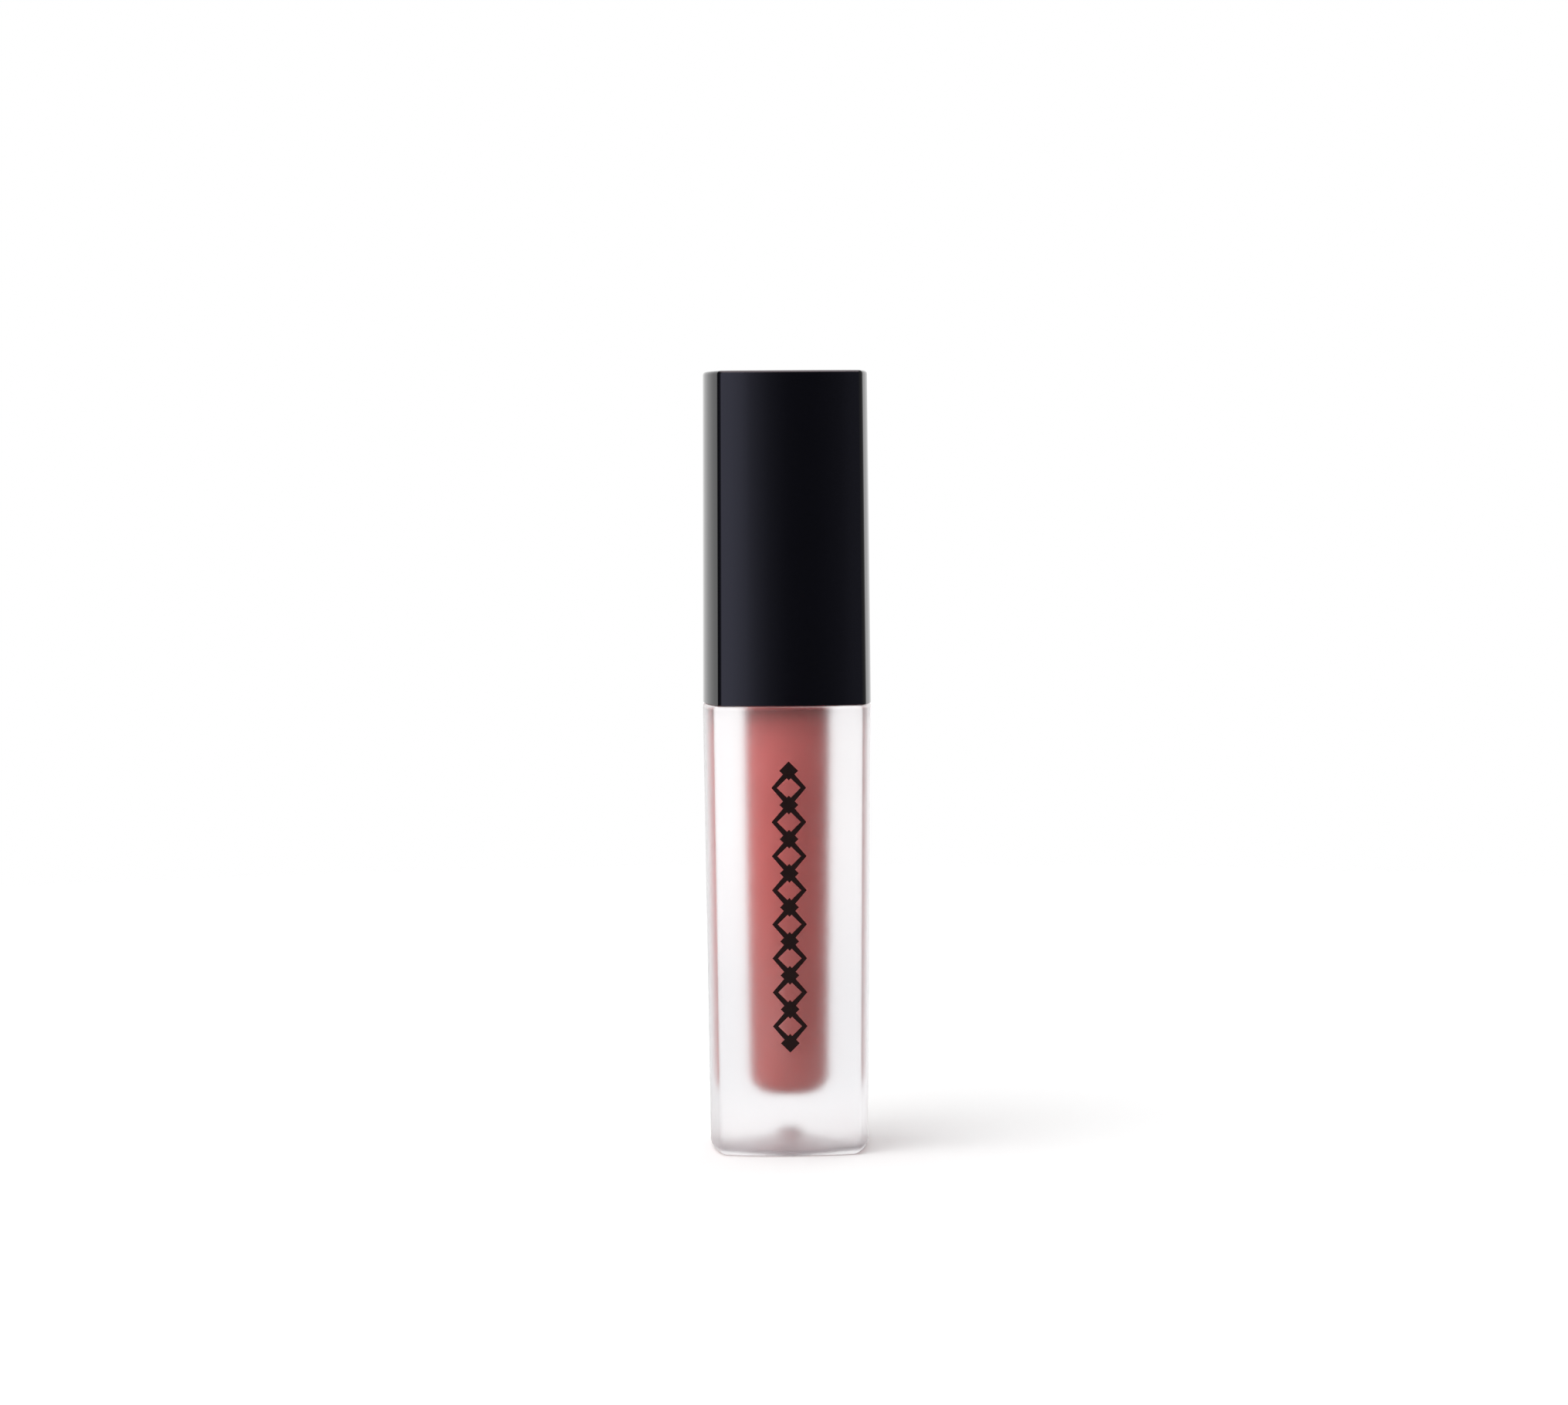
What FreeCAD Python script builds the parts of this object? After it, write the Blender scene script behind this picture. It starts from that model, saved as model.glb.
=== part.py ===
"""Lip gloss tube: a soft-square frosted bottle with a screw cap that carries a doe-foot applicator.

Millimetres. The tube stands upright on the ground plane with its axis on +Z, so the origin is the
centre of the bottle's base. The printed face looks along -Y.
"""
import FreeCAD, Part
import math
import os

import Sketcher

Vector = FreeCAD.Vector
Z_AXIS = Vector(0, 0, 1)

# The driving dimensions: name, value, meaning. Lengths in millimetres, angles in degrees.
DIMENSIONS = [
    ("body_height", 45.8, "base to shoulder"),
    ("body_base_width", 16.2, "across the middle of two opposite faces, at the base"),
    ("body_top_width", 17.2, "across two opposite faces, at the shoulder"),
    ("face_radius", 24.5, "bulge of each of the four faces"),
    ("edge_radius", 0.9, "the four upright edges"),
    ("base_edge_radius", 0.8, "round the foot of the bottle"),
    ("shoulder_edge_radius", 0.4, "round the shoulder"),
    ("dish_radius", 6.6, "shallow cone under the base"),
    ("dish_rim_rise", 0.55, "height of the cone at its rim"),
    ("dish_inner_radius", 1.6, "where the cone meets the gate well"),
    ("dish_inner_rise", 1.6, "height of the cone there"),
    ("gate_well_radius", 0.85, "flat top of the gate well"),
    ("gate_well_rise", 2.4, "height of the gate well"),
    ("reservoir_floor", 5.8, "height of the reservoir's floor"),
    ("reservoir_floor_diameter", 7.25, "reservoir at its floor"),
    ("reservoir_top_diameter", 7.8, "reservoir under the neck bore"),
    ("reservoir_floor_radius", 2.0, "round the reservoir's floor"),
    ("neck_height", 12.0, "shoulder to rim"),
    ("neck_diameter", 10.6, "neck, without its thread"),
    ("neck_bore", 8.0, "seat of the wiper's sleeve"),
    ("neck_bore_depth", 6.6, "rim to the bottom of that seat"),
    ("snap_depth", 3.3, "rim to the middle of the snap groove"),
    ("snap_height", 0.9, "width of the snap groove"),
    ("snap_rise", 0.2, "depth of the snap groove"),
    ("bead_height", 0.72, "width of the wiper's snap bead"),
    ("bead_rise", 0.15, "depth of the same bead"),
    ("rim_radius", 0.25, "round the neck's rim"),
    ("thread_lead", 2.5, "rise in one turn"),
    ("thread_turns", 1.5, "turns of thread on the neck and in the cap"),
    ("thread_root_width", 1.0, "axial width of a thread at its foot"),
    ("thread_crest_width", 0.5, "axial width of a thread at its crest"),
    ("thread_rise", 0.7, "radial height of a thread"),
    ("thread_sink", 0.12, "how far a thread's foot is sunk in its wall"),
    ("fuse_overlap", 0.12, "how far a web or rib is sunk in what it joins"),
    ("cut_margin", 1.0, "how far a cut reaches past what it cuts"),
    ("neck_thread_start", 3.2, "shoulder to the middle of the thread's lower end"),
    ("print_width", 3.5, "printed chain, across"),
    ("print_base", 10.7, "height of the chain's lower end"),
    ("print_pitch", 3.46, "height of one link"),
    ("print_links", 8, "links in the chain"),
    ("print_line", 0.55, "width of the printed line"),
    ("print_bead", 0.95, "half diagonal of the bead between two links"),
    ("ink_thickness", 0.04, "how far the ink stands off the face"),
    ("wiper_flange_diameter", 10.2, "flange that sits on the rim"),
    ("wiper_flange_thickness", 0.8, "the same flange"),
    ("wiper_sleeve_depth", 6.2, "rim to the end of the sleeve"),
    ("wiper_bore", 6.4, "inside of the sleeve"),
    ("wiper_funnel_depth", 8.4, "rim to the narrow end of the funnel"),
    ("wiper_depth", 9.0, "rim to the end of the wiping lip"),
    ("wiper_orifice", 4.1, "hole that wipes the stem"),
    ("wiper_lip_diameter", 5.2, "outside of the wiping lip"),
    ("washer_diameter", 11.8, "sealing washer, outside"),
    ("washer_bore", 5.0, "sealing washer, inside"),
    ("washer_thickness", 0.8, "sealing washer"),
    ("seal_gap", 0.03, "clearance on each side of the washer"),
    ("inner_cap_diameter", 14.2, "skirt, outside"),
    ("inner_cap_bore", 12.4, "skirt, inside"),
    ("inner_cap_skirt", 13.1, "skirt, below the ceiling"),
    ("inner_cap_ceiling", 1.4, "thickness of the ceiling"),
    ("inner_thread_drop", 9.2, "ceiling down to the middle of the cap thread's lower end"),
    ("socket_diameter", 7.2, "post that holds the stem"),
    ("socket_height", 6.6, "post above the ceiling"),
    ("socket_web", 1.0, "thickness of the webs that brace the post"),
    ("socket_web_height", 4.6, "height of those webs"),
    ("key_slot_width", 0.9, "slots in the skirt that take the outer cap's ribs"),
    ("key_slot_depth", 0.25, "the same slots"),
    ("key_spread", 12.0, "angle of a rib from its corner's diagonal"),
    ("seam_gap", 0.08, "shoulder to the cap's mouth"),
    ("cap_height", 33.72, "outer cap, mouth to top"),
    ("cap_mouth_width", 17.15, "outer cap across two faces, at its mouth"),
    ("cap_top_width", 16.7, "outer cap across two faces, at its top"),
    ("cap_wall", 1.3, "outer cap, side wall"),
    ("cap_roof", 1.5, "outer cap, top wall"),
    ("cap_edge_radius", 0.65, "the outer cap's four upright edges"),
    ("cap_top_radius", 0.35, "round the outer cap's top"),
    ("cap_twist", 3.3, "how far the cap's faces stand from the bottle's when it is shut"),
    ("rib_width", 0.8, "ribs inside the outer cap"),
    ("rib_start", 1.6, "mouth to the lower end of a rib"),
    ("rib_reach", 9.0, "axis to a rib's sunk outer edge"),
    ("rib_clearance", 0.1, "rib to the floor of its slot"),
    ("rib_step", 1.1, "how far a rib overhangs the inner cap as a stop"),
    ("stem_diameter", 3.9, "applicator stem"),
    ("stem_head", 6.57, "length of stem held in the post, above the ceiling"),
    ("stem_drop", 39.1, "ceiling down to the stem's lower end"),
    ("stem_chamfer", 0.4, "lead-in at the stem's head"),
    ("peg_diameter", 2.0, "peg of the tip, in the stem"),
    ("peg_length", 4.0, "the same peg"),
    ("peg_clearance", 0.2, "end of the peg to the end of its hole"),
    ("core_diameter", 3.2, "tip's core"),
    ("core_length", 12.1, "stem to the end of the core"),
    ("core_nose_radius", 1.2, "round the end of the core"),
    ("slant_height", 7.0, "length of the doe-foot's slanted face"),
    ("slant_start", 0.4, "axis to where the slant leaves the end of the tip"),
    ("flock_thickness", 0.4, "flock on the tip"),
    ("fill_clearance", 0.03, "gloss to the reservoir's wall"),
    ("fill_height", 41.1, "reservoir floor to the gloss's surface"),
    ("fill_void", 4.2, "room that the applicator takes in the gloss"),
    ("fill_void_floor", 1.8, "reservoir floor to the bottom of that room"),
]

doc = FreeCAD.newDocument("lip_gloss_tube")
sheet = doc.addObject("Spreadsheet::Sheet", "Dims")


class Size:
    """A number together with the spreadsheet expression that gives it."""

    def __init__(self, value, text=None):
        self.value = float(value)
        self.text = text or repr(float(value))

    def __add__(self, other):
        other = as_size(other)
        return Size(self.value + other.value, f"({self.text} + {other.text})")

    def __sub__(self, other):
        other = as_size(other)
        return Size(self.value - other.value, f"({self.text} - {other.text})")

    def __mul__(self, other):
        other = as_size(other)
        return Size(self.value * other.value, f"({self.text} * {other.text})")

    def __truediv__(self, other):
        other = as_size(other)
        return Size(self.value / other.value, f"({self.text} / {other.text})")

    def __neg__(self):
        return Size(-self.value, f"(0 - {self.text})")


def as_size(number):
    return number if isinstance(number, Size) else Size(number)


def square_root(size):
    return Size(math.sqrt(size.value), f"sqrt({size.text})")


def arc_tangent(size):
    """An angle in degrees."""
    return Size(math.degrees(math.atan(size.value)), f"atan({size.text})")


def fill_sheet():
    """Writes the dimensions and returns them as sizes, by name."""
    sizes = {}
    for row, (name, value, meaning) in enumerate(DIMENSIONS, start=1):
        sheet.set(f"A{row}", name)
        sheet.set(f"B{row}", str(value))
        sheet.set(f"C{row}", meaning)
        sheet.setAlias(f"B{row}", name)
        sizes[name] = Size(value, f"Dims.{name}")
    doc.recompute()
    return sizes


DIM = fill_sheet()
NOTHING = Size(0.0)
DIAGONAL = Size(45.0)
SIDES = 4
KEY_SIDES = ((-1, "low"), (1, "high"))
RIM_HEIGHT = DIM["body_height"] + DIM["neck_height"]
WASHER_HEIGHT = RIM_HEIGHT + DIM["wiper_flange_thickness"] + DIM["seal_gap"]
CEILING_HEIGHT = WASHER_HEIGHT + DIM["washer_thickness"] + DIM["seal_gap"]
CAP_MOUTH_HEIGHT = DIM["body_height"] + DIM["seam_gap"]
STEM_FOOT_HEIGHT = CEILING_HEIGHT - DIM["stem_drop"]


# Helpers -----------------------------------------------------------------------------------------

def bind(thing, prop, size):
    """Ties a property of a document object to the sheet."""
    thing.setExpression(prop, size.text)


def new_body(label, height=NOTHING, twist=NOTHING):
    """A sub-part's body, standing at a height on the axis and turned about it."""
    body = doc.addObject("PartDesign::Body", label)
    body.Label = label
    body.Placement = FreeCAD.Placement(Vector(0, 0, height.value), FreeCAD.Rotation(Z_AXIS, twist.value))
    bind(body, "Placement.Base.z", height)
    bind(body, "Placement.Rotation.Angle", twist)
    return body


def origin_part(body, role):
    """One of the body's own origin planes or axes."""
    return next(item for item in body.Origin.OriginFeatures if item.Role == role)


def new_sketch(body, name, plane, offset=NOTHING, turn=NOTHING, turn_axis=Z_AXIS):
    """An empty sketch on one of the body's planes, moved along and turned about a direction of its own."""
    sketch = body.newObject("Sketcher::SketchObject", name)
    sketch.AttachmentSupport = [(origin_part(body, plane), "")]
    sketch.MapMode = "FlatFace"
    sketch.AttachmentOffset = FreeCAD.Placement(Vector(0, 0, offset.value),
                                                FreeCAD.Rotation(turn_axis, turn.value))
    bind(sketch, "AttachmentOffset.Base.z", offset)
    if turn.value:
        bind(sketch, "AttachmentOffset.Rotation.Angle", turn)
    return sketch


def tie_point(sketch, edge, end, x, y):
    """Holds one end of an edge at (x, y): on an axis where a distance is nothing, else by its size."""
    for kind, axis, size in (("DistanceX", -2, x), ("DistanceY", -1, y)):
        if size.value == 0.0:
            sketch.addConstraint(Sketcher.Constraint("PointOnObject", edge, end, axis))
        else:
            index = sketch.addConstraint(Sketcher.Constraint(kind, -1, 1, edge, end, size.value))
            bind(sketch, f"Constraints[{index}]", size)


def outline(sketch, points):
    """A closed outline of straight lines through the points."""
    first = sketch.GeometryCount
    count = len(points)
    for index, (x, y) in enumerate(points):
        next_x, next_y = points[(index + 1) % count]
        line = Part.LineSegment(Vector(x.value, y.value, 0), Vector(next_x.value, next_y.value, 0))
        sketch.addGeometry(line, False)
    for index in range(count):
        following = first + (index + 1) % count
        sketch.addConstraint(Sketcher.Constraint("Coincident", first + index, 2, following, 1))
    for index, (x, y) in enumerate(points):
        tie_point(sketch, first + index, 1, x, y)
    return sketch


def circle(sketch, diameter):
    """A circle about the sketch's origin."""
    edge = sketch.addGeometry(Part.Circle(Vector(), Z_AXIS, diameter.value / 2), False)
    sketch.addConstraint(Sketcher.Constraint("Coincident", edge, 3, -1, 1))
    index = sketch.addConstraint(Sketcher.Constraint("Diameter", edge, diameter.value))
    bind(sketch, f"Constraints[{index}]", diameter)
    return sketch


def soft_square(sketch, width):
    """Four equal bulged faces about the sketch's origin, meeting at four sharp corners."""
    bulge = DIM["face_radius"]
    setback = bulge - width / 2
    corner = (square_root(bulge * bulge * 2 - setback * setback) - setback) / 2
    half_angle = math.asin(corner.value / bulge.value)
    for quarter in range(SIDES):
        facing = 2 * math.pi / SIDES * (quarter - 1)
        centre = Vector(-setback.value * math.cos(facing), -setback.value * math.sin(facing), 0)
        arc_of = Part.Circle(centre, Z_AXIS, bulge.value)
        sketch.addGeometry(Part.ArcOfCircle(arc_of, facing - half_angle, facing + half_angle), False)
    for quarter in range(SIDES):
        sketch.addConstraint(Sketcher.Constraint("Coincident", quarter, 2, (quarter + 1) % SIDES, 1))
    for quarter in range(1, SIDES):
        sketch.addConstraint(Sketcher.Constraint("Equal", 0, quarter))
    index = sketch.addConstraint(Sketcher.Constraint("Radius", 0, bulge.value))
    bind(sketch, f"Constraints[{index}]", bulge)
    tie_point(sketch, 1, 2, corner, corner)
    sketch.addConstraint(Sketcher.Constraint("Symmetric", 1, 2, 2, 2, -2))
    sketch.addConstraint(Sketcher.Constraint("Symmetric", 1, 2, 1, 1, -1))
    sketch.addConstraint(Sketcher.Constraint("Symmetric", 1, 2, 0, 1, -1, 1))
    return sketch


def pad(body, name, sketch, length, down=False, midplane=False, kind="Pad"):
    """A pad, or a pocket where kind says so."""
    feature = body.newObject("PartDesign::" + kind, name)
    feature.Profile = sketch
    feature.Reversed = down
    feature.Midplane = midplane
    bind(feature, "Length", length)
    return feature


def revolve(body, name, sketch, kind="Revolution"):
    """A revolution, or a groove, about the sketch's upright axis."""
    feature = body.newObject("PartDesign::" + kind, name)
    feature.Profile = sketch
    feature.ReferenceAxis = (sketch, ["V_Axis"])
    feature.Angle = 360.0
    return feature


def tapered(body, name, sketch, near_width, far_width, length, kind="Pad"):
    """A pad or pocket from the body's foot upwards, whose sides lean so that its width changes."""
    feature = pad(body, name, sketch, length, down=kind == "Pocket", kind=kind)
    bind(feature, "TaperAngle", arc_tangent((far_width - near_width) / 2 / length))
    return feature


def helix_thread(body, name, foot_radius, rise, start):
    """A thread standing off a wall, inwards where its rise is negative."""
    sink = DIM["thread_sink"] if rise.value > 0 else -DIM["thread_sink"]
    root = DIM["thread_root_width"] / 2
    crest = DIM["thread_crest_width"] / 2
    sketch = new_sketch(body, name + "_profile", "XZ_Plane")
    outline(sketch, [(foot_radius - sink, start - root), (foot_radius + rise, start - crest),
                     (foot_radius + rise, start + crest), (foot_radius - sink, start + root)])
    thread = body.newObject("PartDesign::AdditiveHelix", name)
    thread.Profile = sketch
    thread.ReferenceAxis = (origin_part(body, "Z_Axis"), [""])
    thread.Mode = "pitch-turns-angle"
    bind(thread, "Pitch", DIM["thread_lead"])
    bind(thread, "Turns", DIM["thread_turns"])
    return thread


def edge_names(feature, wanted):
    """Names of the feature's edges that pass a test, once the document is up to date."""
    doc.recompute()
    return [f"Edge{number}" for number, edge in enumerate(feature.Shape.Edges, start=1) if wanted(edge)]


def round_edges(body, name, feature, radius, wanted, kind="Fillet"):
    """Rounds, or chamfers, the edges that pass a test."""
    rounded = body.newObject("PartDesign::" + kind, name)
    rounded.Base = (feature, edge_names(feature, wanted))
    bind(rounded, "Radius" if kind == "Fillet" else "Size", radius)
    doc.recompute()
    return rounded


def copies_per_side(body, name, features):
    """Copies features around the axis, once for each side."""
    pattern = body.newObject("PartDesign::PolarPattern", name)
    pattern.Originals = features
    pattern.Axis = (origin_part(body, "Z_Axis"), [""])
    pattern.Angle = 360.0
    pattern.Occurrences = SIDES
    body.Tip = pattern
    return pattern


LEVEL_TOLERANCE = 1e-6
WIDTH_TOLERANCE = 1e-3


def is_upright(edge):
    """True for an edge that rises further than it reaches sideways."""
    box = edge.BoundBox
    return box.ZLength > max(box.XLength, box.YLength)


def is_level_at(height):
    """A test for edges that lie flat at a height."""
    return lambda edge: (edge.BoundBox.ZLength < LEVEL_TOLERANCE
                         and abs(edge.BoundBox.ZMin - height.value) < LEVEL_TOLERANCE)


def is_ring(height, diameter):
    """A test for circles about the axis with a height and a diameter."""
    level = is_level_at(height)
    return lambda edge: level(edge) and abs(edge.BoundBox.XLength - diameter.value) < WIDTH_TOLERANCE


# Sub-parts ---------------------------------------------------------------------------------------

def make_bottle():
    """The thick-walled bottle: soft-square outside, round reservoir, threaded neck, dished base."""
    body = new_body("bottle")
    base = soft_square(new_sketch(body, "base_section", "XY_Plane"), DIM["body_base_width"])
    block = tapered(body, "block", base, DIM["body_base_width"], DIM["body_top_width"], DIM["body_height"])
    block = round_edges(body, "upright_edges", block, DIM["edge_radius"], is_upright)
    block = round_edges(body, "foot_edge", block, DIM["base_edge_radius"], is_level_at(NOTHING))
    block = round_edges(body, "shoulder_edge", block, DIM["shoulder_edge_radius"],
                        is_level_at(DIM["body_height"]))
    neck_sketch = circle(new_sketch(body, "neck_section", "XY_Plane", DIM["body_height"]), DIM["neck_diameter"])
    neck = pad(body, "neck", neck_sketch, DIM["neck_height"])
    round_edges(body, "rim_edge", neck, DIM["rim_radius"], is_ring(RIM_HEIGHT, DIM["neck_diameter"]))
    helix_thread(body, "neck_thread", DIM["neck_diameter"] / 2, DIM["thread_rise"],
                 DIM["body_height"] + DIM["neck_thread_start"])

    seat = DIM["neck_bore"] / 2
    seat_floor = RIM_HEIGHT - DIM["neck_bore_depth"]
    snap = RIM_HEIGHT - DIM["snap_depth"]
    hollow = outline(new_sketch(body, "hollow_profile", "XZ_Plane"), [
        (NOTHING, DIM["reservoir_floor"]),
        (DIM["reservoir_floor_diameter"] / 2, DIM["reservoir_floor"]),
        (DIM["reservoir_top_diameter"] / 2, seat_floor),
        (seat, seat_floor),
        (seat, snap - DIM["snap_height"] / 2),
        (seat + DIM["snap_rise"], snap),
        (seat, snap + DIM["snap_height"] / 2),
        (seat, RIM_HEIGHT),
        (NOTHING, RIM_HEIGHT),
    ])
    reservoir = revolve(body, "hollow", hollow, "Groove")
    round_edges(body, "reservoir_floor_edge", reservoir, DIM["reservoir_floor_radius"],
                is_ring(DIM["reservoir_floor"], DIM["reservoir_floor_diameter"]))
    dish = outline(new_sketch(body, "dish_profile", "XZ_Plane"), [
        (NOTHING, NOTHING),
        (DIM["dish_radius"], NOTHING),
        (DIM["dish_radius"], DIM["dish_rim_rise"]),
        (DIM["dish_inner_radius"], DIM["dish_inner_rise"]),
        (DIM["gate_well_radius"], DIM["gate_well_rise"]),
        (NOTHING, DIM["gate_well_rise"]),
    ])
    revolve(body, "dish", dish, "Groove")
    return body


def make_printed_ornament():
    """A chain of open diamonds with solid beads between them, in ink on the bottle's front face."""
    chain = new_body("print_chain")
    half_line = DIM["print_line"] / 2
    half_width = DIM["print_width"] / 2
    pitch = DIM["print_pitch"]
    middle = DIM["print_base"] + DIM["print_bead"] + pitch / 2
    link = new_sketch(chain, "link_outline", "XZ_Plane")
    inner_width = half_width - DIM["print_line"]
    inner_height = pitch / 2 - DIM["print_line"]
    outline(link, [(-half_width, middle), (-half_line, middle - pitch / 2), (half_line, middle - pitch / 2),
                   (half_width, middle), (half_line, middle + pitch / 2), (-half_line, middle + pitch / 2)])
    outline(link, [(-inner_width, middle), (NOTHING, middle - inner_height),
                   (inner_width, middle), (NOTHING, middle + inner_height)])
    link_pad = pad(chain, "link", link, DIM["body_top_width"])
    bead_half = DIM["print_bead"]
    bead = outline(new_sketch(chain, "bead_outline", "XZ_Plane"), [
        (-bead_half, DIM["print_base"] + bead_half),
        (NOTHING, DIM["print_base"]),
        (bead_half, DIM["print_base"] + bead_half),
        (NOTHING, DIM["print_base"] + bead_half * 2),
    ])
    bead_pad = pad(chain, "bead", bead, DIM["body_top_width"])
    for name, feature, extra in (("links", link_pad, 0), ("beads", bead_pad, 1)):
        row = chain.newObject("PartDesign::LinearPattern", name)
        row.Originals = [feature]
        row.Direction = (origin_part(chain, "Z_Axis"), [""])
        bind(row, "Occurrences", DIM["print_links"] + extra)
        bind(row, "Length", pitch * (DIM["print_links"] - 1 + extra))
        chain.Tip = row

    skins = []
    for name, standoff in (("print_outside", DIM["ink_thickness"]), ("print_inside", NOTHING)):
        skin = new_body(name)
        base = soft_square(new_sketch(skin, name + "_base", "XY_Plane"), DIM["body_base_width"] + standoff * 2)
        tapered(skin, name + "_block", base, DIM["body_base_width"], DIM["body_top_width"], DIM["body_height"])
        skins.append(skin)
    film = doc.addObject("Part::Cut", "print_film")
    film.Base, film.Tool = skins
    ornament = doc.addObject("Part::Common", "printed_ornament")
    ornament.Base = film
    ornament.Tool = chain
    ornament.Label = "printed_ornament"
    return ornament


def make_wiper():
    """The soft plug in the neck: a flange on the rim, a snap bead, and a funnel down to the wiping lip."""
    body = new_body("wiper", RIM_HEIGHT)
    seat = DIM["neck_bore"] / 2
    bead_half = DIM["bead_height"] / 2
    profile = outline(new_sketch(body, "wiper_profile", "XZ_Plane"), [
        (DIM["wiper_bore"] / 2, DIM["wiper_flange_thickness"]),
        (DIM["wiper_flange_diameter"] / 2, DIM["wiper_flange_thickness"]),
        (DIM["wiper_flange_diameter"] / 2, NOTHING),
        (seat, NOTHING),
        (seat, -DIM["snap_depth"] + bead_half),
        (seat + DIM["bead_rise"], -DIM["snap_depth"]),
        (seat, -DIM["snap_depth"] - bead_half),
        (seat, -DIM["wiper_sleeve_depth"]),
        (DIM["wiper_lip_diameter"] / 2, -DIM["wiper_funnel_depth"]),
        (DIM["wiper_lip_diameter"] / 2, -DIM["wiper_depth"]),
        (DIM["wiper_orifice"] / 2, -DIM["wiper_depth"]),
        (DIM["wiper_orifice"] / 2, -DIM["wiper_funnel_depth"]),
        (DIM["wiper_bore"] / 2, -DIM["wiper_sleeve_depth"]),
    ])
    plug = revolve(body, "plug", profile)
    round_edges(body, "entry_edge", plug, DIM["rim_radius"],
                is_ring(DIM["wiper_flange_thickness"], DIM["wiper_bore"]))
    return body


def make_gloss_fill():
    """The gloss in the reservoir, with the room that the applicator takes in it."""
    body = new_body("gloss_fill", DIM["reservoir_floor"])
    gap = DIM["fill_clearance"]
    wall_slope = (DIM["reservoir_top_diameter"] - DIM["reservoir_floor_diameter"]) / 2 / (
        RIM_HEIGHT - DIM["neck_bore_depth"] - DIM["reservoir_floor"])
    floor_radius = DIM["reservoir_floor_diameter"] / 2 - gap
    void_radius = DIM["fill_void"] / 2
    profile = outline(new_sketch(body, "fill_profile", "XZ_Plane"), [
        (NOTHING, gap),
        (floor_radius, gap),
        (floor_radius + wall_slope * DIM["fill_height"], DIM["fill_height"]),
        (void_radius, DIM["fill_height"]),
        (void_radius, DIM["fill_void_floor"]),
        (NOTHING, DIM["fill_void_floor"]),
    ])
    fill = revolve(body, "fill", profile)
    round_edges(body, "fill_floor_edge", fill, DIM["reservoir_floor_radius"],
                is_ring(gap, floor_radius * 2))
    return body


def make_sealing_washer():
    """The soft ring between the wiper's flange and the inner cap's ceiling."""
    body = new_body("sealing_washer", WASHER_HEIGHT, DIM["cap_twist"])
    sketch = circle(new_sketch(body, "washer_section", "XY_Plane"), DIM["washer_diameter"])
    circle(sketch, DIM["washer_bore"])
    pad(body, "ring", sketch, DIM["washer_thickness"])
    return body


def make_inner_cap():
    """The threaded liner in the cap, with the post that holds the stem."""
    body = new_body("inner_cap", CEILING_HEIGHT, DIM["cap_twist"])
    outside = DIM["inner_cap_diameter"] / 2
    ceiling = DIM["inner_cap_ceiling"]
    profile = outline(new_sketch(body, "inner_cap_profile", "XZ_Plane"), [
        (DIM["stem_diameter"] / 2, NOTHING),
        (DIM["inner_cap_bore"] / 2, NOTHING),
        (DIM["inner_cap_bore"] / 2, -DIM["inner_cap_skirt"]),
        (outside, -DIM["inner_cap_skirt"]),
        (outside, ceiling),
        (DIM["socket_diameter"] / 2, ceiling),
        (DIM["socket_diameter"] / 2, ceiling + DIM["socket_height"]),
        (NOTHING, ceiling + DIM["socket_height"]),
        (NOTHING, DIM["stem_head"]),
        (DIM["stem_diameter"] / 2, DIM["stem_head"]),
    ])
    revolve(body, "skirt_and_post", profile)
    web_sketch = new_sketch(body, "web_section", "XY_Plane", ceiling)
    web_half = DIM["socket_web"] / 2
    web_inner = DIM["socket_diameter"] / 2 - DIM["fuse_overlap"]
    slot_floor = outside - DIM["key_slot_depth"]
    outline(web_sketch, [(web_inner, -web_half), (slot_floor, -web_half),
                         (slot_floor, web_half), (web_inner, web_half)])
    web = pad(body, "web", web_sketch, DIM["socket_web_height"])
    copies_per_side(body, "webs", [web])
    slot_half = DIM["key_slot_width"] / 2
    slot_mouth = outside + DIM["cut_margin"]
    slots = []
    for side, side_name in KEY_SIDES:
        name = f"key_slot_{side_name}"
        turn = DIAGONAL + DIM["key_spread"] * side
        sketch = new_sketch(body, name + "_section", "XY_Plane", -DIM["inner_cap_skirt"], turn)
        outline(sketch, [(slot_floor, -slot_half), (slot_mouth, -slot_half),
                         (slot_mouth, slot_half), (slot_floor, slot_half)])
        slots.append(pad(body, name, sketch, DIM["inner_cap_skirt"] + ceiling, down=True, kind="Pocket"))
    copies_per_side(body, "key_slots", slots)
    helix_thread(body, "cap_thread", DIM["inner_cap_bore"] / 2, -DIM["thread_rise"], -DIM["inner_thread_drop"])
    return body


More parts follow.
